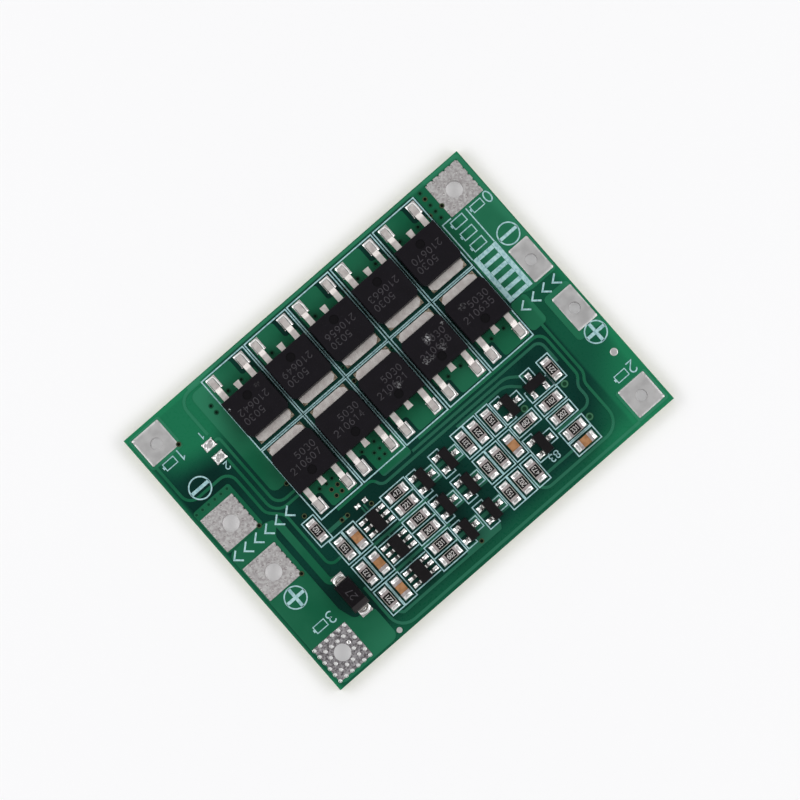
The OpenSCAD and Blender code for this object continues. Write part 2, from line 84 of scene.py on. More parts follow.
# %% Camera
view = bpy.data.objects.new("view_camera", bpy.data.cameras.new("view_camera"))
view.data.lens, view.data.sensor_width = 180, 36
view.data.clip_start, view.data.clip_end = 0.01, 20
view.location = (-12.7 * MM, -18.88 * MM, 498.07 * MM)
view.rotation_euler = np.radians((2.886, 0.313, -41.16))
bpy.context.scene.collection.objects.link(view)
bpy.context.scene.camera = view
print("camera height in mm:", view.location.z / MM)

# %% [markdown]
# ## Reading places from the solids
#
# A node's mesh is loose triangles, and one node can hold many solids, such as the lands of all the
# parts. Merging equal corners and spreading the lowest label over each triangle finds the separate
# solids. After that each land, foot and chip can be asked where it is.

# %% Separate solids of a node
def node_points(name):
    """The corners of a node's mesh, as rows of x, y, z in millimetres."""
    mesh = nodes[name].data
    flat = np.empty(3 * len(mesh.vertices))
    mesh.vertices.foreach_get("co", flat)
    return flat.reshape(-1, 3) / MM


def solids_of(name):
    """The points of each solid in a node. Equal corners are merged, then every triangle hands
    its lowest label to its three corners until nothing changes."""
    mesh = nodes[name].data
    corners = np.empty(len(mesh.loops), np.int32)
    mesh.loops.foreach_get("vertex_index", corners)
    points, merged = np.unique(np.round(node_points(name), 3), axis=0, return_inverse=True)
    triangles = merged.ravel()[corners].reshape(-1, 3)
    label = np.arange(len(points))
    while True:
        spread = label.copy()
        np.minimum.at(spread, triangles.ravel(), np.repeat(label[triangles].min(1), 3))
        spread = spread[spread]
        if (spread == label).all():
            return [points[label == one] for one in np.unique(label)]
        label = spread


BOARD_TOP = node_points("printed_board")[:, 2].max()
LAND_TOP = node_points("top_copper")[:, 2].max()
PAD_TOP = node_points("charge_plus_pad")[:, 2].max()
print("board, land and pad tops in mm:", BOARD_TOP.round(3), LAND_TOP.round(3), PAD_TOP.round(3))

# %% [markdown]
# ## Surfaces from grids
#
# Most new pieces are a grid of points: rows along one parameter, columns along another. Four
# neighbours make a face. A grid can be closed on itself along either direction, which gives a
# tube or a ring. Many small pieces of one kind are collected and become a single object.

# %% Grids and collections of pieces
def grid_faces(rows, columns, ring=False, tube=False):
    """Faces of a grid whose point number is row * columns + column. ring joins the last row to
    the first, tube joins the last column to the first. They face along row step x column step."""
    row, column = np.meshgrid(np.arange(rows - (not ring)), np.arange(columns - (not tube)),
                              indexing="ij")
    down, along = (row + 1) % rows, (column + 1) % columns
    corners = [row * columns + column, down * columns + column,
               down * columns + along, row * columns + along]
    return np.stack(corners, -1).reshape(-1, 4)


class Tray:
    """Collects points and faces of pieces that share one object."""

    def __init__(self):
        self.points, self.faces, self.count = [], [], 0

    def add(self, points, *faces):
        points = np.asarray(points, float).reshape(-1, 3)
        self.points.append(points)
        for block in faces:
            self.faces += (np.atleast_2d(block) + self.count).tolist()
        self.count += len(points)

    def piece(self, name, slot, finish, sharp=40):
        """Makes the object at the origin, smooth except at edges sharper than an angle."""
        mesh = bpy.data.meshes.new(name)
        mesh.from_pydata((np.concatenate(self.points) * MM).tolist(), [], self.faces)
        mesh.shade_smooth()
        mesh.set_sharp_from_angle(angle=np.radians(sharp))
        mesh.materials.append(finish)
        piece = bpy.data.objects.new(name, mesh)
        bpy.context.scene.collection.objects.link(piece)
        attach(piece, "root")
        print(name, len(mesh.vertices), "points", len(mesh.polygons), "faces")
        return piece

# %% [markdown]
# ## Arithmetic with shader sockets
#
# A finish is worked out from a few masks, such as distance from a spot or height above the board.
# Writing `1 - mask` is easier to read than four lines that add a node, so a small class wraps a
# socket and adds a Math node for each operator. Colours and vectors go through Mix and Vector
# Math instead, because a Math node would turn them grey.

# %% Sockets with operators, and a builder of finishes
class Wire:
    """The output socket of a node, which can be added, multiplied and compared."""

    def __init__(self, maker, socket):
        self.maker, self.socket = maker, socket

    def calc(self, operation, *values):
        return self.maker.node("ShaderNodeMath", {"operation": operation}, dict(enumerate(values)))

    def __add__(self, other): return self.calc("ADD", self, other)
    def __radd__(self, other): return self.calc("ADD", other, self)
    def __sub__(self, other): return self.calc("SUBTRACT", self, other)
    def __rsub__(self, other): return self.calc("SUBTRACT", other, self)
    def __mul__(self, other): return self.calc("MULTIPLY", self, other)
    def __rmul__(self, other): return self.calc("MULTIPLY", other, self)
    def __pow__(self, other): return self.calc("POWER", self, other)
    def __gt__(self, other): return self.calc("GREATER_THAN", self, other)
    def __lt__(self, other): return self.calc("LESS_THAN", self, other)


class Finish:
    """One material: a Principled shader whose varying inputs come from expressions."""

    def __init__(self, name, **settings):
        self.material = bpy.data.materials.new(name)
        self.material.use_nodes = True
        self.tree = self.material.node_tree
        self.shader = self.tree.nodes["Principled BSDF"]
        self.set(**settings)
        place = self.node("ShaderNodeTexCoord", output="Object")
        self.place = self.node("ShaderNodeVectorMath", {"operation": "SCALE"},
                               {0: place, "Scale": 1000})
        self.x, self.y, self.z = (self.node("ShaderNodeSeparateXYZ", inputs={0: self.place},
                                            output=axis) for axis in "XYZ")

    def node(self, kind, settings=None, inputs=None, output=0):
        """Adds a node: its settings first, then the values or links of its sockets."""
        node = self.tree.nodes.new(kind)
        for key, value in (settings or {}).items():
            setattr(node, key, value)
        for key, value in (inputs or {}).items():
            self.feed(node.inputs[key], value)
        return Wire(self, node.outputs[output])

    def feed(self, socket, value):
        if isinstance(value, Wire):
            self.tree.links.new(value.socket, socket)
        else:
            socket.default_value = value

    def set(self, **values):
        """Feeds inputs of the shader, named in lower case with underscores."""
        for key, value in values.items():
            name = key.replace("_", " ").title().replace("Ior", "IOR")
            if name.endswith("Color") and not isinstance(value, Wire):
                value = tone(*value)
            self.feed(self.shader.inputs[name], value)

    def grain(self, size, detail=2, stretch=(1, 1, 1)):
        """Noise from 0 to 1 with blots of a size in mm, finer along an axis that is stretched."""
        place = self.node("ShaderNodeVectorMath", {"operation": "MULTIPLY"},
                          {0: self.place, 1: stretch})
        return self.node("ShaderNodeTexNoise", {"normalize": True},
                         {"Vector": place, "Scale": 1 / size, "Detail": detail})

    def ramp(self, value, low, high):
        """A smooth step from 0 at low to 1 at high."""
        return self.node("ShaderNodeMapRange", {"interpolation_type": "SMOOTHSTEP"},
                         {"Value": value, "From Min": low, "From Max": high})

    def blend(self, mask, first, second):
        """The first colour where the mask is 0 and the second where it is 1."""
        first, second = (c if isinstance(c, Wire) else tone(*c) for c in (first, second))
        return self.node("ShaderNodeMix", {"data_type": "RGBA"}, {0: mask, 6: first, 7: second},
                         output=2)

    def spot(self, x, y, radius, ragged=0.5):
        """A ragged blot about a point: 1 in the middle and 0 outside."""
        flat = self.node("ShaderNodeVectorMath", {"operation": "MULTIPLY"},
                         {0: self.place, 1: (1, 1, 0)})
        reach = self.node("ShaderNodeVectorMath", {"operation": "DISTANCE"},
                          {0: flat, 1: (x, y, 0)}, output="Value")
        return 1 - self.ramp(reach + (self.grain(radius * 0.6) - 0.5) * (ragged * radius * 2),
                             radius * 0.5, radius)

    def relief(self, height, depth):
        """A bump whose height signal, from 0 to 1, stands for a depth in mm."""
        return self.node("ShaderNodeBump", None,
                         {"Height": height, "Distance": depth * MM, "Strength": 1})


def tone(red, green, blue):
    """A colour given in screen values from 0 to 255, as the linear values a shader takes."""
    c = np.array([red, green, blue]) / 255
    linear = np.where(c < 0.04045, c / 12.92, ((c + 0.055) / 1.055) ** 2.4)
    return (*linear.tolist(), 1.0)

# %% [markdown]
# ## Solder mask and laminate
#
# The board is woven glass in resin under a film of green lacquer. The lacquer is glossy and a
# little uneven, and the weave shows through it as a very shallow grid. Where it covers copper it
# looks lighter, because the metal reflects light back. A painted sheen lightens the lacquer's
# colour near the upper left corner, along the edges and in the lower right corner. The routed edge
# has no lacquer: bare, pale resin with the layers of cloth running along it.

# %% Solder mask, masked copper and the bare edge
def weave(finish):
    """The crossing of two bands 0.5 mm apart, as in plain woven cloth."""
    warp, weft = (finish.node("ShaderNodeTexWave", {"bands_direction": axis},
                              {"Vector": finish.place, "Scale": 0.628}) for axis in "XY")
    return warp * 0.5 + weft * 0.5


def painted_sheen(finish, colour, bright):
    """Painted sheen: lightens the lacquer's colour near the upper left corner, along the edges and
    most of all in the lower right corner."""
    right = finish.ramp(finish.x, 21.4, 21.9) * 0.3 + finish.ramp(finish.x, 25.8, 27.4) * 0.45
    corner = finish.ramp(finish.x - finish.y, 32, 40) * 0.5
    left = finish.spot(-20.5, 19, 9, 0.1) * 0.8 + (1 - finish.ramp(finish.x, -27.5, -26.7)) * 0.6
    ends = (1 - finish.ramp(finish.y, -20, -17)) * 0.35 + finish.ramp(finish.y, 19.7, 20.2) * 0.6
    mask = right.calc("MINIMUM", right + corner + left + ends, 1)
    return finish.blend(mask, colour, bright)


mask = Finish("green_solder_mask", specular_ior_level=0.1)
cloud = mask.ramp(mask.grain(9, 2), 0.3, 0.7)
# The lacquer's colour, lightened by the painted sheen.
lacquer = painted_sheen(mask, mask.blend(cloud, (2, 40, 34), (6, 56, 46)), (28, 118, 80))
side = mask.node("ShaderNodeNewGeometry", output="True Normal")
up = mask.node("ShaderNodeSeparateXYZ", inputs={0: side}, output="Z")
routed = up.calc("ABSOLUTE", up) < 0.5
plies = mask.ramp(mask.grain(0.25, 3, (0.2, 0.2, 1.6)), 0.35, 0.65)
resin = mask.blend(plies, (158, 162, 120), (190, 194, 158))
mask.set(base_color=mask.blend(routed, lacquer, resin),
         roughness=0.24 + mask.grain(0.4, 3) * 0.08 + routed * 0.4,
         normal=mask.relief(weave(mask) * 0.5 + mask.grain(0.15, 2) * 0.5, 0.003))

film = Finish("green_mask_on_copper", specular_ior_level=0.12)
cloud = film.ramp(film.grain(7, 3), 0.3, 0.7)
among = (film.x > -17) * (film.x < 20) * (film.y < -3.9)
copper = film.blend(among * 0.6, film.blend(cloud, (14, 87, 59), (28, 97, 69)), (42, 92, 78))
# The copper film's colour, lightened by the same painted sheen.
film.set(base_color=painted_sheen(film, copper, (46, 124, 92)),
         roughness=0.26 + film.grain(0.3, 3) * 0.1,
         normal=film.relief(film.grain(0.35, 3), 0.006))
print("mask nodes:", len(mask.tree.nodes), "film nodes:", len(film.tree.nodes))

# %% [markdown]
# ## Metals
#
# Tin looks different wherever it froze in another way. Reflowed solder froze from a liquid and
# is almost a mirror with small frost marks. Wire pads were dipped and blown level, which leaves
# a satin skin, pebbled over the vias. The big battery pad was left the dullest, grey and grainy.
# Lead frames, small leads, chip ends and the diode's strap were plated before they came to the
# board. The solder beside the heat tabs is darker and browner, which is painted shade. One function
# makes them all.

# %% Solder, tinned pads, lead frames and chip ends
def metal(name, dull, bright, blot, rough, spread, grain, depth):
    """A metal whose colour and roughness drift with blots of a size in mm, over a fine grain."""
    finish = Finish(name, metallic=1)
    drift = finish.ramp(finish.grain(blot, 3), 0.3, 0.7)
    fine = finish.grain(grain, 2)
    finish.set(base_color=finish.blend(drift, dull, bright),
               roughness=rough + drift * spread + (fine - 0.5) * spread,
               normal=finish.relief(fine * 0.5 + finish.grain(grain * 5, 2) * 0.5, depth))
    return finish


solder = metal("reflowed_solder", (222, 220, 219), (246, 245, 244), 0.5, 0.12, 0.08, 0.16, 0.008)
tinned = metal("blown_tin_pad", (202, 201, 201), (214, 213, 213), 1.4, 0.4, 0.04, 0.12, 0.003)
grey_tin = metal("grey_grainy_pad", (98, 94, 97), (180, 177, 180), 0.2, 0.42, 0.1, 0.07, 0.014)
frame_tin = metal("matt_tin_frame", (230, 221, 218), (242, 237, 233), 0.6, 0.34, 0.06, 0.09, 0.005)
lead_tin = metal("bright_tin_lead", (230, 228, 226), (244, 242, 240), 0.4, 0.2, 0.06, 0.08, 0.003)
end_tin = metal("chip_end_tin", (196, 184, 184), (220, 211, 210), 0.35, 0.3, 0.1, 0.06, 0.005)
dull_tin = metal("dull_tin_strap", (128, 122, 120), (170, 164, 160), 0.3, 0.3, 0.1, 0.06, 0.006)
# Darker, browner tin beside the heat tabs: painted shade.
shaded_tab_tin = metal("flux_stained_tin", (112, 100, 82), (192, 182, 164),
                    0.25, 0.34, 0.1, 0.08, 0.01)
pebbled_tin = metal("pebbled_tin_pad", (186, 180, 181), (214, 213, 212),
                    0.3, 0.4, 0.08, 0.16, 0.012)
print("finishes so far:", [material.name for material in bpy.data.materials])

# %% [markdown]
# ## Flux in dents and hollows, and a softer bend
#
# Three metals also change with height. Painted shade darkens the walls of the dents in a pebbled
# pad and the hollow behind a small lead's foot. The bend of a power lead is rounder than its solid:
# a bump whose signal grows as the surface drops leans the slope back towards the light.

# %% Metals that change with height
def band(finish, low, high, fade_low, fade_high):
    """1 between two heights and 0 outside, with a soft step at each end."""
    return (finish.ramp(finish.z, low, low + fade_low)
            * finish.ramp(finish.z, high, high - fade_high))


def skin_of(finish):
    """The colour that a finish has so far."""
    return Wire(finish, finish.shader.inputs["Base Color"].links[0].from_socket)


# Painted shade on the walls of the dents in a pebbled pad.
dent_shade = band(pebbled_tin, PAD_TOP - 0.033, PAD_TOP - 0.004, 0.007, 0.006)
pebbled_tin.set(base_color=pebbled_tin.blend(dent_shade * 0.55, skin_of(pebbled_tin), (92, 86, 84)))
# Painted shade in the hollow of a small lead's bend, between its foot and its top.
hollow = band(lead_tin, LAND_TOP + 0.06, LAND_TOP + 0.56, 0.04, 0.1)
lead_tin.set(base_color=lead_tin.blend(hollow * 0.85, skin_of(lead_tin), (52, 48, 46)))

LEAD_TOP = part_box("power_leadframe_1")[1][2] / MM
BEND_DEPTH = 0.44
drop = LEAD_TOP - frame_tin.z
bend = drop.calc("MINIMUM", drop, BEND_DEPTH)
lean = frame_tin.grain(0.09) * 0.004 + bend * (0.15 + bend * 1.1) + (drop - bend) * 1.1
frame_tin.set(normal=frame_tin.relief(lean, 1))
print("a power lead bends from", round(LEAD_TOP, 3), "to", round(LEAD_TOP - BEND_DEPTH, 3))

# %% [markdown]
# ## Mouldings, glaze and ceramic
#
# The black packages are filled epoxy: matt, with a sand-like grain from the mould and a few paler
# grains of filler. Four of the power packages carry white flux residue from hand work. A chip
# resistor is white alumina with black glaze on top, and a chip capacitor is one block of tan
# ceramic.

# %% Black mouldings
def moulding(name, dark, pale, rough, residue=(), floor=None):
    """Epoxy with a mould grain, pale filler specks and spots of dried flux, which is a cluster of
    pale crumbs. floor is the height below which a flat face is the dark floor of a recess."""
    finish = Finish(name, specular_ior_level=0.12)
    sand = finish.grain(0.09, 3)
    speck = finish.ramp(finish.grain(0.11, 0), 0.74, 0.82)
    colour = finish.blend(finish.grain(1.3, 2), dark, pale)
    colour = finish.blend(speck * 0.3, colour, (60, 58, 62))
    roughness = rough + (sand - 0.5) * 0.12
    if floor:
        side = finish.node("ShaderNodeNewGeometry", output="True Normal")
        flat = finish.node("ShaderNodeSeparateXYZ", inputs={0: side}, output="Z") > 0.9
        colour = finish.blend(flat * (finish.z < floor) * 0.75, colour, (2, 1, 3))
    crumbs = finish.ramp(finish.grain(0.2, 2), 0.44, 0.62)
    for x, y, radius, strength in residue:
        flux = finish.spot(x, y, radius, 0.8) * crumbs
        colour = finish.blend(flux * strength, colour, (176, 176, 178))
        roughness = roughness + flux * 0.2
    finish.set(base_color=colour, roughness=roughness, normal=finish.relief(sand, 0.012))
    return finish


RESIDUE = {
    "power_package_3": [(2.75, 3.2, 0.55, 0.35), (1.25, 3.0, 0.25, 0.15)],
    "power_package_4": [(9.2, 5.15, 0.5, 0.75), (9.3, 5.1, 0.8, 0.2), (7.3, 3.2, 0.55, 0.4),
                        (10.0, 3.2, 0.6, 0.3), (8.2, 3.0, 0.4, 0.2), (11.85, 5.4, 0.3, 0.35)],
    "power_package_5": [(15.1, 5.3, 0.6, 0.15)],
    "power_package_6": [(-15.02, 14.6, 0.22, 0.9), (-10.4, 14.8, 0.4, 0.08)],
}
EPOXY = (12, 9, 14), (20, 17, 23), 0.5
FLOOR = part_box("power_package_1")[1][2] / MM - 0.03
black = moulding("black_power_moulding", *EPOXY, floor=FLOOR)
small_black = moulding("black_small_moulding", (15, 13, 15), (23, 21, 23), 0.46)
diode_black = moulding("black_diode_moulding", (8, 5, 9), (14, 11, 15), 0.42)
cathode = diode_black.ramp(diode_black.y + diode_black.grain(0.2) * 0.06, -13.74, -13.8)
diode_black.set(base_color=diode_black.blend(cathode * 0.8, skin_of(diode_black), (52, 49, 50)))
stained = {name: moulding(name + "_with_flux", *EPOXY, spots, FLOOR)
           for name, spots in RESIDUE.items()}
print("stained packages:", sorted(stained))

# %% Resistor glaze and capacitor ceramic
GLAZE_FOOT = max(points[:, 2].max() for points in solids_of("resistor_bodies")) - 0.045
glaze = Finish("black_glaze_on_alumina", specular_ior_level=0.2)
glazed = glaze.z > GLAZE_FOOT
black_glass = glaze.blend(glaze.grain(0.5, 2), (14, 13, 14), (24, 22, 23))
alumina = glaze.blend(glaze.grain(0.2, 2), (206, 204, 196), (224, 222, 214))
glaze.set(base_color=glaze.blend(glazed, alumina, black_glass),
          roughness=0.62 - glazed * 0.3 + glaze.grain(0.1, 2) * 0.06,
          normal=glaze.relief(glaze.grain(0.08, 2), 0.004))

ceramic = Finish("tan_capacitor_ceramic", specular_ior_level=0.2)
bake = ceramic.ramp(ceramic.grain(0.8, 3), 0.3, 0.7)
ceramic.set(base_color=ceramic.blend(bake, (142, 100, 64), (170, 124, 86)),
            roughness=0.42 + ceramic.grain(0.1, 2) * 0.1,
            normal=ceramic.relief(ceramic.grain(0.09, 3), 0.006))
print("resistors are glazed above z =", round(GLAZE_FOOT, 3))

# %% [markdown]
# ## Finishes on the fixed nodes
#
# The forms of the solids are right, so they stay, and only their material slots change. The
# record says which finish each node has, so one table from the record's slots to the finishes
# covers all of them.

# %% Finishes on the fixed nodes
FINISHES = {
    "solder_mask": mask, "masked_copper": film, "solder": solder, "tinned_pad": tinned,
    "grey_tinned_pad": grey_tin, "power_moulding": black, "leadframe": frame_tin,
    "small_moulding": small_black, "tinned_lead": lead_tin, "diode_moulding": diode_black,
    "resistor_glaze": glaze, "capacitor_ceramic": ceramic, "chip_terminal": end_tin,
}
for part in frame["record"]["subparts"]:
    finish = stained.get(part["node"], FINISHES[part["material_slot"]])
    if part["node"] == "diode_leads":
        finish = dull_tin
    materials = nodes[part["node"]].data.materials
    for i in range(max(1, len(materials))):
        if len(materials):
            materials[i] = finish.material
        else:
            materials.append(finish.material)

# %% [markdown]
# ## Wire pads
#
# A wire pad is a sheet of tinned copper on both faces, joined by a plated hole. Where small vias
# stitch the two sheets together, the tin sinks a little into each, which leaves a grid of
# dimples. A flat solid can't show that, so seven pads are made again as one closed surface each:
# a profile that starts at the outline, crosses to the hole, runs down the plating and comes back
# between the sheets. The eighth pad has open vias cut through it and stays as it is, and only
# its eyelets are added later.

# %% Outline of a pad and its dimples
def rounded_outline(low, high, radius, count):
    """Points spaced evenly round a rectangle with quarter-circle corners, anticlockwise."""
    turns = np.radians(np.arange(0, 91, 15))
    ways = [np.stack([cx + radius * np.cos(turns + q), cy + radius * np.sin(turns + q)], 1)
            for q, cx, cy in ((0, high[0] - radius, high[1] - radius),
                              (np.pi / 2, low[0] + radius, high[1] - radius),
                              (np.pi, low[0] + radius, low[1] + radius),
                              (np.pi * 1.5, high[0] - radius, low[1] + radius))]
    ways = np.concatenate(ways + [ways[0][:1]])
    run = np.concatenate([[0], np.cumsum(np.linalg.norm(np.diff(ways, axis=0), axis=1))])
    at = np.linspace(0, run[-1], count, endpoint=False)
    return np.stack([np.interp(at, run, ways[:, 0]), np.interp(at, run, ways[:, 1])], 1)


def sink(points, centres, depth, width):
    """How far the tin sinks at each point: depth * exp(-(r / width)^4) about each centre. The
    fourth power gives a dish with a flat floor and a clear rim."""
    if not len(centres):
        return np.zeros(points.shape[:-1])
    r = np.linalg.norm(points[..., None, :2] - np.asarray(centres), axis=-1)
    return (depth * np.exp(-(r / width) ** 4)).sum(-1)

# %% Seven pads as closed surfaces
def wire_pad(name, hole, radius, dimples, notches, finish, count, rings):
    """One pad as a ring of rings. On the faces a point runs straight from the outline to the
    hole's edge at the same bearing; the plating is a tube between them. Notches push the outline
    inwards where a via lies on it."""
    low, high = (np.array(corner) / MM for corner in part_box(name))
    skin = 0.05
    rim = rounded_outline(low[:2], high[:2], 0.12, count)
    bearing = np.arctan2(rim[:, 1] - hole[1], rim[:, 0] - hole[0])
    ray = np.stack([np.cos(bearing), np.sin(bearing)], 1)
    inward = (np.array(hole) - rim) / np.linalg.norm(np.array(hole) - rim, axis=1)[:, None]
    rim = rim + inward * sink(rim, notches, 0.16, 0.15)[:, None]

    def ring(flat, z):
        return np.concatenate([flat, np.full((count, 1), z)], 1)

    share = np.linspace(0, 1, rings)[:, None, None]
    top = (1 - share) * (rim + 0.06 * inward) + share * (np.array(hole) + (radius + 0.012) * ray)
    top = np.concatenate([top, np.full((rings, count, 1), PAD_TOP)], 2)
    top[..., 2] -= sink(top, dimples, 0.038, 0.17)
    around = [ring(rim, BOARD_TOP), ring(rim + 0.015 * inward, PAD_TOP - 0.03), *top,
              ring(hole + radius * ray, PAD_TOP - 0.015), ring(hole + radius * ray, 0.02),
              ring(hole + (radius + 0.02) * ray, 0), ring(rim, 0), ring(rim, skin),
              ring(hole + (radius + skin) * ray, skin),
              ring(hole + (radius + skin) * ray, BOARD_TOP)]
    tray = Tray()
    tray.add(around, grid_faces(len(around), count, True, True)[:, ::-1])
    piece = tray.piece(name + "_tinned", "tinned_pad", finish.material)
    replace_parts(piece, name)


def stitches(low, high):
    """Centres of the dimples: a 1 mm grid from the pad's corner, with the row at its edges."""
    return [(x, y) for x in np.arange(low[0] + 0.15, high[0] + 0.2)
            for y in np.arange(low[1] + 0.85, high[1] + 0.2)]


mounts = {m["name"]: m for m in frame["record"]["mounts"]}
STITCHED = ("battery_minus_pad", "discharge_plus_pad", "discharge_minus_pad")
for name in sorted(n for n in nodes if n.endswith("_pad") or n.startswith("balance_pad")):
    if name == "battery_plus_pad":
        continue
    hole = mounts[name.replace("pad", "hole") if name.endswith("_pad") else
                  name.replace("balance_pad", "balance") + "_hole"]
    centre, radius = np.array(hole["pos_m"][:2]) / MM, hole["dims"]["r_mm"]
    stitched = name in STITCHED
    low, high = (np.array(corner)[:2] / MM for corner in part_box(name))
    dimples = [p for p in (stitches(low, high) if stitched else [])
               if np.hypot(*(np.array(p) - centre)) > radius + 0.3]
    notches = [np.where(np.array(p) < high - 0.4, p, high + 0.02)
               for p in dimples if (np.array(p) > high - 0.4).any()]
    wire_pad(name, centre, radius, dimples, notches,
             *((pebbled_tin, 288, 46) if stitched else (tinned, 96, 6)))

# %% [markdown]
# ## Solder joints
#
# Solder wets the land and the foot, and its surface runs from one to the other. How much of it
# there is decides the shape: a full bead in front of a chip, a hollow skirt round the long foot of
# a power lead, and a ridge in front of the diode's flat foot. Each is one formula in the distance
# to the foot, laid over a thin pool with a rounded edge, so every land is one height field.

# %% Feet and lands
def bead(a, s):
    """A full bead: the quarter ellipse 0.85 sqrt(1 - s^2), which is flat near the metal and steep
    at the land's edge, and a short climb at the metal itself, 0.15 (1 - s)^6."""
    return 0.85 * np.sqrt(1 - s ** 2) + 0.15 * (1 - s) ** 6


def skirt(a, s):
    """A hollow skirt: half falls as exp(-a / 0.045), the rest as a straight slope that ends
    0.3 mm from the foot in a soft bend. The land beyond it stays flat."""
    return 0.5 * np.exp(-a / 0.045) + 0.5 * np.clip(1 - a / 0.3, 0, 1) ** 1.2


def cap(a, s):
    """Solder that covers the whole foot and rounds off, 1 - s^2, to the land's edge."""
    return 1 - s ** 2


def crescent(a, s):
    """A small mound at the middle of the foot, exp(-(a / 0.2)^2), a dark valley, and a ridge
    curved round it at 0.55 mm, 0.5 exp(-((a - 0.55) / 0.14)^2)."""
    return np.exp(-(a / 0.2) ** 2) + 0.5 * np.exp(-((a - 0.55) / 0.14) ** 2)


def film_only(a, s):
    """No climb at all: the thin pool beside a heat tab."""
    return 0 * a


FEET = {"chip_terminals": (0.3, bead), "power_leadframe": (0.24, skirt),
        "diode_leads": (0.4, crescent), "transistor_leads": (0.15, cap),
        "protection_leads": (0.15, cap)}
CLOSE = {bead: (-0.012, 0.012, 0.045), skirt: (-0.012, 0.012, 0.04, 0.08, 0.12, 0.17, 0.22, 0.3),
         cap: (0,), crescent: (), film_only: (-0.012, 0.012)}


def feet():
    """For each metal foot: the low and high corner of what touches the land, how high the solder
    climbs it and the shape that it takes."""
    found = []
    for name in nodes:
        kind = next((k for k in FEET if name.startswith(k)), None)
        for points in solids_of(name) if kind else []:
            touch = points[points[:, 2] < LAND_TOP + 0.02]
            rise, shape = FEET[kind]
            first, last = touch[:, :2].min(0), touch[:, :2].max(0)
            if shape is skirt and last[0] - first[0] > 2:
                shape = film_only
            if shape is crescent:
                first[0] = last[0] = (first[0] + last[0]) / 2
            if shape is cap:
                out = (first + last - points[:, :2].min(0) - points[:, :2].max(0)) / 2
                k = int(np.abs(out).argmax())
                first[k], last[k] = ((last[k] - 0.1, last[k]) if out[k] > 0 else
                                     (first[k], first[k] + 0.1))
            found.append((first, last, rise, shape))
    return found


def quarter(distance, width):
    """A quarter circle that rises from 0 to 1 over a width: sqrt(1 - (1 - d / width)^2)."""
    return np.sqrt(1 - (1 - np.clip(distance / width, 0, 1)) ** 2)


def land_surface(low, high, foot, number):
    """Height above the board over a land: 0.05 of copper with square corners, and on it the
    solder, inside an outline with round corners, edge * (0.02 + rise * crown * shape(a, s)).
    Here a is the distance to the foot, b the distance to the land's edge and s = a / (a + b).
    crown falls towards the ends of the foot. A bare land carries a lumpy dome instead, and under
    the foot the solder stays below the metal."""
    lines = []
    for axis in (0, 1):
        step = 0.04 if foot is not None and foot[3] is crescent else 0.085
        steps = int(np.clip((high[axis] - low[axis]) / step, 7, 40))
        marks = [low[axis] + s for s in (0.03, 0.06, 0.1)]
        marks += [high[axis] - s for s in (0.03, 0.06, 0.1)]
        if foot is not None:
            marks += [foot[0][axis] - s for s in CLOSE[foot[3]]]
            marks += [foot[1][axis] + s for s in CLOSE[foot[3]]]
        marks = [m for m in marks if low[axis] < m < high[axis]]
        lines.append(np.unique(np.round([*np.linspace(low[axis], high[axis], steps), *marks], 2)))
    x, y = np.meshgrid(*lines, indexing="ij")
    inside = np.minimum(np.minimum(x - low[0], high[0] - x), np.minimum(y - low[1], high[1] - y))
    centre, half = (low + high) / 2, (high - low) / 2
    corner = min(0.36, 0.55 * half.min())
    past = [np.maximum(np.abs(v - c) - (h - corner), 0) for v, c, h in zip((x, y), centre, half)]
    edge = quarter(np.minimum(inside, corner - np.hypot(*past)), 0.13)
    height = 0.02 + 0.01 * np.sin(6 * x + number) * np.cos(7 * y - 2 * number)
    if foot is None:
        lumps = 1 + 0.3 * np.sin(8 * x + 3 * number) * np.sin(9 * y + number)
        height = height + 0.17 * lumps * (1 - (1 - np.clip(2.5 * inside, 0, 1)) ** 2)
    else:
        middle, half = (foot[0] + foot[1]) / 2, (foot[1] - foot[0]) / 2
        off_x, off_y = np.abs(x - middle[0]), np.abs(y - middle[1])
        dx, dy = np.maximum(off_x - half[0], 0), np.maximum(off_y - half[1], 0)
        a = np.hypot(dx * (0.75 if foot[3] is crescent else 1), dy)
        across = np.where(dx > dy, off_y / half[1], off_x / max(half[0], 0.7))
        crown = (1 + 0.15 * np.sin(5 * number)) * (1 - 0.35 * np.clip(across, 0, 1.2) ** 2)
        height = height + foot[2] * crown * foot[3](a, a / (a + inside + 1e-6))
        if foot[3] is not cap:
            height[(dx == 0) & (dy == 0)] = -0.01
    z = BOARD_TOP - 0.004 + 0.054 * quarter(inside, 0.03) + edge * height
    return np.stack([x, y, z], -1)

# %% Solder joints on every land
def grid_rim(rows, columns):
    """Numbers of a grid's outer points, one lap in the direction that faces the underside."""
    n = np.arange(rows * columns).reshape(rows, columns)
    return np.concatenate([n[0, :-1], n[:-1, -1], n[-1, :0:-1], n[:0:-1, 0]])


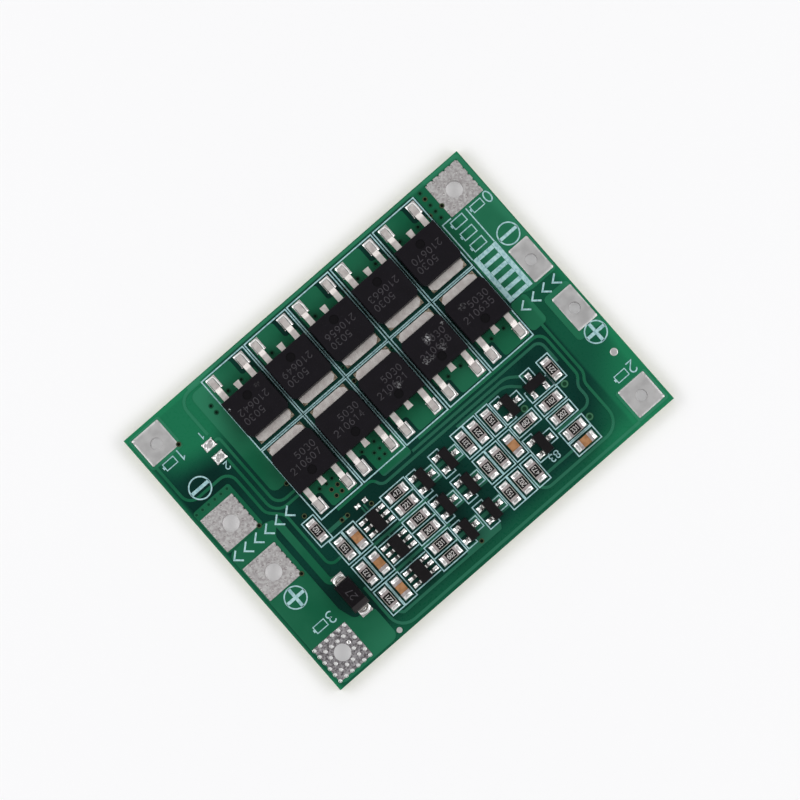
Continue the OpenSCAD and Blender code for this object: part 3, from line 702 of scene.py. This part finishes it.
all_feet = feet()
joints, tab_films, test_discs = Tray(), Tray(), Tray()
round_lands = 0
for number, points in enumerate(solids_of("component_lands")):
    low, high = points[:, :2].min(0), points[:, :2].max(0)
    middle = (low + high) / 2
    far = np.hypot(*(points[:, :2] - middle).T)
    if len(points) > 20 and np.ptp(far) < 0.02:
        turn = np.linspace(0, 2 * np.pi, 40, endpoint=False)[None, :, None]
        part = np.array([1, 0.99, 0.97, 0.75, 0.45])[:, None, None]
        flat = middle + far.max() * part * np.concatenate([np.cos(turn), np.sin(turn)], 2)
        z = BOARD_TOP - 0.004 + 0.056 * np.sqrt(1 - part ** 30) + 0 * flat[..., :1]
        disc = grid_faces(5, 40, tube=True)[:, ::-1]
        test_discs.add(np.concatenate([flat, z], 2), disc, np.arange(40)[::-1],
                       np.arange(160, 200))
        round_lands += 1
        continue
    own = next((f for f in all_feet if (f[0] < high).all() and (f[1] > low).all()), None)
    tray = joints
    if own and own[3] is film_only:
        low, high = np.minimum(low, own[0] - 0.03), np.maximum(high, own[1] + 0.05)
        tray = tab_films
    surface = land_surface(low, high, own, number)
    rows, columns = surface.shape[:2]
    tray.add(surface, grid_faces(rows, columns), grid_rim(rows, columns))
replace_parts(joints.piece("solder_joints", "solder", solder.material, 50), "component_lands")
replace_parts(tab_films.piece("heat_tab_solder", "solder", shaded_tab_tin.material, 50),
            "component_lands")
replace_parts(test_discs.piece("test_discs", "solder", tinned.material, 50), "component_lands")
print("feet:", len(all_feet), "round lands:", round_lands)

# %% [markdown]
# ## Vias
#
# Small plated holes carry current between the two faces. An open one shows a brown-green collar
# round a black well, one under the mask a faint ring round a dark dimple, and a plugged one only
# the dimple. The well and the dimples are only a few microns deep, and their dark floor is painted
# shade. The eyelets in the square pad are bare: their tinned rims catch the light, and one that
# lies close to the wire hole is filled with tin. A turned profile makes each of them, up the
# outside, over the crown and down into the well.

# %% Vias under the mask
VIAS = {
    "open_vias": [(-12, -1.05), (-11, -1.05), (-12, -2), (-11.1, -2), (-13.5, -4.75),
                  (-12.6, -4.75), (-9.4, -5.6), (-16.7, -1.3), (-15.7, 3.2), (20.55, 18.55),
                  (19.65, 16.55), (21.6, 16.55), (-1.45, 15.65), (-22.6, 15.7), (-21.65, -6.45),
                  (-21.7, 1.5), (5.65, 16.55), (-2.15, -18.1), (-1.0, 7.3)],
    "masked_vias": [(-13.05, 0), (-12, -0.1), (-11.05, 0), (-6.1, 0), (-4.1, 0), (-5, -1.1),
                    (-4.1, -1.1), (-5, -2.05), (-4.1, -2.05), (8.18, 0), (10.18, 0), (15.3, 0),
                    (17.3, 0), (-16.45, 16.65), (-16.45, 15.6), (-13.6, 16.65), (-11.45, 16.65),
                    (-6.4, 16.65), (0.65, 16.55), (7.7, 16.6), (10.6, 16.55), (14.7, 16.6),
                    (17.6, 16.5), (20.55, 19.5), (20.55, 17.55), (20.55, 16.55), (20.55, 15.5),
                    (-0.95, 9.45), (5.2, 7.3)],
    "plugged_vias": [(x, 7.6) for x in np.arange(-26.7, -21.2)],
    "ringed_vias": [(18.45, -10.2), (18.1, -15.3), (12.65, -9.25)],
}
# For each kind: the collar's dark and pale colour, then the well's colour, which is painted shade.
VIA_TONES = {
    "open_vias": ((58, 72, 50), (80, 92, 64), (3, 6, 2)),
    "masked_vias": ((20, 72, 50), (30, 88, 62), (0, 24, 12)),
    "plugged_vias": ((28, 92, 64), (34, 98, 70), (8, 62, 42)),
    "ringed_vias": ((52, 100, 74), (64, 112, 84), (16, 56, 36)),
}
PADS = [[np.array(c)[:2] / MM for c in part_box(n)] for n in nodes if "pad" in n]


def turned(tray, centre, profile, count=20, ring=False):
    """A closed round piece: its profile of radius and height, carried once round the centre. A
    ring's profile comes back to its start, and any other has a flat end above and below."""
    r, z = np.array(profile).T[:, :, None]
    turn = np.linspace(0, 2 * np.pi, count, endpoint=False)[None]
    points = np.stack([centre[0] + r * np.cos(turn), centre[1] + r * np.sin(turn),
                       z + 0 * turn], -1)
    last = len(profile) * count
    ends = [] if ring else [np.arange(count)[::-1], np.arange(last - count, last)]
    tray.add(points, grid_faces(len(profile), count, ring, True)[:, ::-1], *ends)


def via_finish(name, dark, pale, well):
    """A finish that turns from the collar's colour to the well's over the last microns of its
    depth. The well's colour is painted shade. A collar on a pad stands higher, so the depth is read
    from the nearer of two levels."""
    finish = Finish(name, specular_ior_level=0.08)
    raised = (finish.z > LAND_TOP + 0.025) * (PAD_TOP - LAND_TOP + 0.02)
    # Below a few microns the colour turns to the well's painted shade.
    well_shade = 1 - finish.ramp(finish.z - raised, LAND_TOP + 0.006, LAND_TOP + 0.012)
    finish.set(base_color=finish.blend(well_shade, finish.blend(finish.grain(0.1), dark, pale), well),
               roughness=0.4 + finish.grain(0.1) * 0.1)
    return finish.material


for name, centres in VIAS.items():
    tray = Tray()
    size = 1.5 if name == "ringed_vias" else 1
    wide = 0.19 if name == "open_vias" else 0.15
    for centre in centres:
        on_pad = any((low - 0.3 < centre).all() and (centre < high + 0.3).all()
                     for low, high in PADS)
        z = LAND_TOP + (PAD_TOP - LAND_TOP + 0.02) * on_pad
        turned(tray, centre, [(0.36 * size, BOARD_TOP - 0.004), (0.33 * size, z + 0.006),
                              (0.28 * size, z + 0.016), (0.22 * size, z + 0.013),
                              ((wide + 0.02) * size, z + 0.007), (wide * size, z + 0.004)])
    tray.piece(name, "masked_copper", via_finish(name + "_collar", *VIA_TONES[name]))

# %% Bare eyelets in the square pad
eyelets = Tray()
EYELET_PITCH = 0.98
corner = np.array(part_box("battery_plus_pad")[0])[:2] / MM + (0.1, 0.13)
middle = np.array(mounts["battery_plus_hole"]["pos_m"][:2]) / MM
for i in range(6):
    for j in range(6):
        centre = corner + EYELET_PITCH * np.array([i, j])
        reach = np.hypot(*(centre - middle))
        if 1.3 < reach < 1.5:
            turned(eyelets, centre, [(0.25, BOARD_TOP - 0.004), (0.24, PAD_TOP + 0.008),
                                     (0.2, PAD_TOP + 0.035), (0.12, PAD_TOP + 0.052),
                                     (0.03, PAD_TOP + 0.056)], 24)
        elif reach > 1.5:
            turned(eyelets, centre, [(0.25, BOARD_TOP - 0.004), (0.245, PAD_TOP + 0.004),
                                     (0.23, PAD_TOP + 0.014), (0.212, PAD_TOP + 0.016),
                                     (0.196, PAD_TOP + 0.004), (0.192, PAD_TOP - 0.02),
                                     (0.192, BOARD_TOP - 0.004)], 24, True)
eyelets.piece("pad_eyelets", "solder", solder.material)

# %% [markdown]
# ## The printed legend
#
# The legend is epoxy ink pressed through a fine screen: raised a few hundredths of a millimetre,
# with square, slightly uneven edges. Every mark is a stroke, so one function is enough. It
# carries a flat rectangular section along a path and mitres it at the corners. Digits are drawn
# from straight lines and arcs, because a stroke font is what a board plotter draws too.

# %% Strokes of ink
INK_TOP = LAND_TOP + 0.015


def stroke(tray, path, width, closed=False, low=None, high=None):
    """A flat bar along a path. At each point the side step is half the width along the mean of
    the two neighbouring normals, divided by the cosine of half the bend, which is a mitre."""
    path = np.asarray(path, float)
    low, high = BOARD_TOP - 0.003 if low is None else low, INK_TOP if high is None else high
    ways = np.diff(path, axis=0, append=path[:1])
    ways /= np.linalg.norm(ways, axis=1)[:, None] + 1e-12
    after, before = ways.copy(), np.roll(ways, 1, axis=0)
    if not closed:
        after[-1], before[0] = ways[-2], ways[0]
    sides = np.stack([-(after + before)[:, 1], (after + before)[:, 0]], 1)
    sides *= 2 / np.maximum((sides ** 2).sum(1), 0.8)[:, None] * width / 2
    section = [(-0.9, high), (0.9, high), (1, low), (-1, low)]
    points = np.stack([np.column_stack([path + s * sides, np.full(len(path), z)])
                       for s, z in section], 1)
    faces = grid_faces(len(path), 4, closed, True)
    last = 4 * (len(path) - 1)
    ends = [] if closed else [np.arange(4), np.arange(last + 3, last - 1, -1)]
    tray.add(points, faces, *ends)


def arc(x, y, width, height, start, stop, count=12):
    """Points on an ellipse, from one angle in degrees to another."""
    t = np.radians(np.linspace(start, stop, count))
    return [*zip(x + width * np.cos(t), y + height * np.sin(t))]


def box_line(tray, x0, x1, y0, y1, width=0.15):
    stroke(tray, [(x0, y0), (x1, y0), (x1, y1), (x0, y1)], width, closed=True)

# %% Stroke digits
DIGITS = {
    "0": [arc(0.3, 0.5, 0.3, 0.5, 90, -270, 25)],
    "1": [[(0.08, 0.78), (0.34, 1), (0.34, 0)]],
    "2": [arc(0.3, 0.7, 0.29, 0.3, 165, -30) + [(0, 0), (0.6, 0)]],
    "3": [arc(0.27, 0.74, 0.27, 0.26, 150, -80) + arc(0.28, 0.25, 0.31, 0.25, 85, -150)],
    "4": [[(0.44, 0), (0.44, 1), (0, 0.3), (0.62, 0.3)]],
    "5": [[(0.54, 1), (0.09, 1), (0.05, 0.56)] + arc(0.28, 0.32, 0.31, 0.32, 125, -145)],
    "6": [[(0.46, 1)] + arc(0.34, 0.34, 0.33, 0.52, 130, 180, 5)
          + arc(0.3, 0.31, 0.29, 0.31, 180, 480, 20)],
    "7": [[(0, 1), (0.6, 1), (0.22, 0)]],
    "8": [arc(0.3, 0.75, 0.25, 0.25, -90, 270, 17), arc(0.3, 0.25, 0.3, 0.25, 90, -270, 17)],
    "9": [[(0.14, 0)] + arc(0.26, 0.66, 0.33, 0.52, -50, 0, 5)
          + arc(0.3, 0.69, 0.29, 0.31, 0, 300, 20)],
}


def number(tray, text, centre, height, turn, width, pitch=0.8, narrow=1, low=None, high=None):
    """Digits in a row about a centre. Each point is narrowed, moved along the row, scaled to the
    height and turned by an angle in degrees."""
    c, s = np.cos(np.radians(turn)), np.sin(np.radians(turn))
    start = -((len(text) - 1) * pitch + 0.6 * narrow) / 2
    for i, digit in enumerate(text):
        for path in DIGITS[digit]:
            p = (np.array(path) * (narrow, 1) + (start + i * pitch, -0.5)) * height
            stroke(tray, np.array(centre) + p @ np.array([[c, s], [-s, c]]), width,
                   low=low, high=high)

# %% [markdown]
# ## What the legend shows
#
# Frames mark the place of each part: a box round each power transistor, a box or a pair of
# brackets round each small part. Rings with a plus or a minus stand by the wire pads. The taps of
# the battery are numbered from 0 to 3, each with the sign of a cell, and rows of arrows show the
# way the current leaves and enters.

# %% Frames round the parts
legend = Tray()
for x0, x1 in ((-15.4, -8.65), (-8.35, -1.62), (-1.33, 5.45), (5.85, 12.5), (12.85, 19.55)):
    box_line(legend, x0, x1, 8.45, 19.68, 0.17)
    box_line(legend, x0, x1, -3.05, 8.2, 0.17)

for row in range(3):
    y = -7.6 - 4.18 * row
    box_line(legend, -16.5, -14.62, y - 1.9, y + 1.88)
    box_line(legend, -14.46, -12.55, y - 1.9, y + 1.88)
    for line in (y + 1.5, y - 1.52):
        stroke(legend, [(-12.4, line), (-8.3, line)], 0.15)
    box_line(legend, -8.15, -4.25, y - 1.9, y + 1.88)
    stroke(legend, [(-8.15, y), (-4.25, y)], 0.15)
    stroke(legend, [(-2.6, y + 1.35), (-2.6, y + 1.7), (-4.0, y + 1.7), (-4.0, y - 1.85),
                    (-2.6, y - 1.85), (-2.6, y - 1.5)], 0.15)
    stroke(legend, [(-1.75, y + 0.75), (-0.7, y + 0.75), (-0.7, y - 0.9), (-1.75, y - 0.9)], 0.15)
    stroke(legend, [(1.2, y + 1.4), (1.2, y + 1.75), (-0.35, y + 1.75), (-0.35, y - 1.8),
                    (1.2, y - 1.8), (1.2, y - 1.45)], 0.15)
    stroke(legend, [(2.05, y + 0.75), (3.2, y + 0.75), (3.2, y - 0.9), (2.05, y - 0.9)], 0.15)
    for x0, x1 in ((3.42, 5.3), (5.44, 7.32), (7.62, 9.5)):
        box_line(legend, x0, x1, y - 1.9, y + 1.88)

for y in (-7.7, -13.9):
    stroke(legend, [(11.2, y + 1.5), (11.2, y + 1.78), (9.75, y + 1.78), (9.75, y - 1.72),
                    (11.2, y - 1.72), (11.2, y - 1.45)], 0.15)
    stroke(legend, [(12.3, y + 0.82), (13.4, y + 0.82), (13.4, y - 0.8), (12.3, y - 0.8)], 0.15)
box_line(legend, 9.75, 13.4, -11.62, -9.76)
stroke(legend, [(14.85, -7.1), (14.85, -5.76), (16.4, -5.76), (16.4, -7.1)], 0.15)
stroke(legend, [(14.1, -7.85), (13.86, -7.85), (13.86, -9.42), (17.48, -9.42), (17.48, -7.85),
                (17.2, -7.85)], 0.15)
for y0, y1 in ((-11.62, -9.8), (-13.74, -11.95), (-16.1, -14.35), (-18.18, -16.28)):
    box_line(legend, 13.85, 17.58, y0, y1)
box_line(legend, 17.5, 19.35, -9.6, -5.86)
box_line(legend, -17.65, -15.78, -5.6, -1.85)
print("strokes so far:", len(legend.points))

# %% Signs, numbers and arrows
for x, y, plus in ((-24.15, 9.85, False), (25.55, 8.5, False), (-24.15, -8.2, True),
                   (25.65, -7.9, True)):
    ring = 1.42
    stroke(legend, arc(x, y, ring, ring, 0, 352.5, 48), 0.19, closed=True)
    stroke(legend, [(x - ring, y), (x + ring, y)], 0.46)
    if plus:
        stroke(legend, [(x, y - ring), (x, y - 0.23)], 0.46)
        stroke(legend, [(x, y + 0.23), (x, y + ring)], 0.46)


def cell_sign(x, y, long=1.7, high=0.95, line=0.13):
    """The sign of a battery cell: a box with a stub at its positive end."""
    box_line(legend, x - long / 2, x + long / 2, y - high / 2, y + high / 2, line)
    stroke(legend, [(x - long / 2 - 0.17, y - high * 0.2), (x - long / 2 - 0.17, y + high * 0.2)],
           0.2)


for digit, x, y in (("0", 25.5, 13.7), ("1", -24.4, 14.6), ("2", 25.0, -14.1), ("3", -23.6, -12.9)):
    number(legend, digit, (x + 1.15, y), 1.45, 180, 0.19)
    cell_sign(x - 0.55, y)
for x in np.arange(-26.4, -17.6, 1.7):
    stroke(legend, [(x + 0.45, 1.1), (x - 0.45, 0.3), (x + 0.45, -0.5)], 0.24)
for x in np.arange(21.0, 27.2, 1.7):
    stroke(legend, [(x + 0.45, 1.0), (x - 0.45, 0.25), (x + 0.45, -0.5)], 0.24)
for text, x, y in (("1", -19.8, 14.7), ("2", -19.8, 9.75), ("83", 11.6, -16.15)):
    number(legend, text, (x, y), 0.95, 180, 0.15)
print("strokes so far:", len(legend.points))

# %% Frame and gauge between the transistors and the charge pads
stroke(legend, [(20.0, 8.9), (20.0, 14.62), (21.4, 14.62)], 0.17)
stroke(legend, [(23.6, 8.9), (23.6, 14.35)], 0.17)
for y in (10.0, 11.85, 13.7):
    cell_sign(21.9, y, 1.9, 1.05, 0.15)
left, right, bottom, top = 19.98, 23.75, 1.8, 8.85
for x in (left + 0.35, right - 0.35):
    stroke(legend, [(x, bottom), (x, top)], 0.7)
for y in np.linspace(bottom + 0.3, top - 0.3, 6):
    stroke(legend, [(left + 0.7, y), (right - 0.7, y)], 0.6)

ink = Finish("pale_legend_ink", specular_ior_level=0.3)
worn = ink.ramp(ink.grain(0.35, 3), 0.32, 0.62)
ink.set(base_color=ink.blend(worn, (134, 174, 180), (169, 205, 208)),
        roughness=0.5 + ink.grain(0.1, 2) * 0.15, normal=ink.relief(ink.grain(0.12, 2), 0.01))
legend.piece("printed_legend", "marking_ink", ink.material, 30)

# %% [markdown]
# ## Codes on the parts
#
# Chip resistors carry three white digits of their value. The power packages and the diode are
# marked by laser, which only lightens the epoxy, so those digits are faint grey and have no
# height to speak of.

# %% Codes and laser marks
codes, marks = Tray(), Tray()
VALUES = ["102", "221", "473", "153", "682", "331", "202"]
for i, points in enumerate(solids_of("resistor_bodies")):
    low, high = points.min(0), points.max(0)
    along_x = high[0] - low[0] > high[1] - low[1]
    number(codes, VALUES[i % len(VALUES)], (low + high)[:2] / 2, 0.6, 0 if along_x else 90, 0.095,
           pitch=0.6, narrow=0.72, low=high[2] - 0.004, high=high[2] + 0.008)
for i in range(1, 11):
    low, high = (np.array(corner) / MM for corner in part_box(f"power_package_{i}"))
    turn = 0 if i < 6 else 180
    up_y = 1 if i < 6 else -1
    x, y = (low + high)[:2] / 2
    for text, side, rise in (("5030", 0.95, 0.9), (f"{210600 + 7 * i}", 0.05, -0.35)):
        number(marks, text, (x + side * up_y, y + rise * up_y), 0.85, turn, 0.11, pitch=0.93,
               low=high[2] - 0.004, high=high[2] + 0.004)
low, high = (np.array(corner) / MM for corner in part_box("diode_body"))
number(marks, "27", (low + high)[:2] / 2, 0.9, 90, 0.12, low=high[2] - 0.004, high=high[2] + 0.004)
code_ink = Finish("white_code_ink", specular_ior_level=0.3)
code_ink.set(base_color=code_ink.blend(code_ink.grain(0.2, 2), (176, 173, 172), (206, 203, 200)),
             roughness=0.5 + code_ink.grain(0.08) * 0.1)
laser = Finish("laser_grey", specular_ior_level=0.3)
laser.set(base_color=laser.blend(laser.ramp(laser.grain(0.25, 3), 0.3, 0.7), (43, 41, 45),
                                 (63, 60, 65)), roughness=0.6 + laser.grain(0.08) * 0.1)
codes.piece("resistor_codes", "marking_ink", code_ink.material, 30)
marks.piece("laser_marks", "power_moulding", laser.material, 30)

# %% [markdown]
# ## Stage and light
#
# A plain white table, and two long soft boxes 42 degrees up on the left and right of the view.
# The sky is dark straight above and brightest about 40 degrees up: glossy lacquer and flat tin
# keep their depth, while solder that leans to a side catches a bright box. The table adds a
# little light of its own for what the camera, a reflection or clear glass sees of it, which
# makes it white without making the lamps stronger. Under the board it adds more, so that the
# paper shows pale through the wire holes.

# %% Table
table_mesh = bpy.data.meshes.new("table")
table_mesh.from_pydata([(x, y, -0.00002) for x, y in ((-3, -3), (3, -3), (3, 3), (-3, 3))], [],
                       [(0, 1, 2, 3)])
table = bpy.data.objects.new("table", table_mesh)
bpy.context.scene.collection.objects.link(table)
paper = Finish("white_table", base_color=(249, 249, 250), roughness=0.9, specular_ior_level=0.2)
seen, glossy, passed = (paper.node("ShaderNodeLightPath", output=f"Is {kind} Ray")
                        for kind in ("Camera", "Glossy", "Transmission"))
under = (paper.x.calc("ABSOLUTE", paper.x) < 27.4) * (paper.y.calc("ABSOLUTE", paper.y) < 20.4)
well = mounts["battery_plus_hole"]["pos_m"]
reach = paper.node("ShaderNodeVectorMath", {"operation": "DISTANCE"},
                   {0: paper.place, 1: [v / MM for v in well[:2]] + [0]}, output="Value")
below = 0.18 + (reach < 4.2) * 0.12 + (reach > 1.25) * (reach < 4.2) * 0.3
light = paper.node("ShaderNodeEmission", inputs={"Color": (1, 1, 1, 1), "Strength": 1.0})
direct = seen.calc("MINIMUM", seen + glossy + passed, 1)
shade = paper.node("ShaderNodeMixShader", inputs={
    0: direct * (0.03 + under * below), 1: Wire(paper, paper.shader.outputs[0]), 2: light})
paper.tree.links.new(shade.socket, paper.tree.nodes["Material Output"].inputs["Surface"])
table_mesh.materials.append(paper.material)
table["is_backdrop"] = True

# %% Lamps and sky
def soft_box(name, bearing, height, distance, size, power):
    """An area lamp that looks at the board from a bearing and a height, both in degrees."""
    lamp = bpy.data.lights.new(name, "AREA")
    lamp.shape, lamp.size, lamp.size_y, lamp.energy = "RECTANGLE", *size, power
    box = bpy.data.objects.new(name, lamp)
    b, h = np.radians((bearing, height))
    place = distance * np.array([np.cos(b) * np.cos(h), np.sin(b) * np.cos(h), np.sin(h)])
    box.location = place
    box.rotation_euler = (np.pi / 2 - h, 0, b + np.pi / 2)
    bpy.context.scene.collection.objects.link(box)


soft_box("right_soft_box", -41.16, 42, 0.55, (0.5, 0.26), 0.78)
soft_box("left_soft_box", 138.84, 42, 0.55, (0.5, 0.26), 0.78)

sky = bpy.data.worlds.new("sky")
sky.use_nodes = True
bpy.context.scene.world = sky
links, tree = sky.node_tree.links, sky.node_tree
background = tree.nodes["Background"]
way = tree.nodes.new("ShaderNodeTexCoord")
split = tree.nodes.new("ShaderNodeSeparateXYZ")
shades = tree.nodes.new("ShaderNodeValToRGB")
SKY = ((0.0, 0.62), (0.05, 0.58), (0.15, 0.3), (0.45, 0.38), (0.6, 0.72), (0.76, 0.6), (0.93, 0.26),
       (1.0, 0.24))
while len(shades.color_ramp.elements) < len(SKY):
    shades.color_ramp.elements.new(0.5)
for stop, (height, value) in zip(shades.color_ramp.elements, SKY):
    stop.position, stop.color = height, (value, value, value, 1)
links.new(way.outputs["Generated"], split.inputs[0])
links.new(split.outputs["Z"], shades.inputs[0])
links.new(shades.outputs[0], background.inputs["Color"])
background.inputs["Strength"].default_value = 1.55
bpy.context.scene.view_settings.view_transform = "Standard"

# %% [markdown]
# ## Size of the dressed board
#
# The box round everything that is shown, the table left out, is printed in millimetres.
# Nothing may grow past the solids.

# %% Sizes and the end of the scene
low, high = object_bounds()
print("dressed box in mm:", [round(v / MM, 2) for v in (*low, *high)])
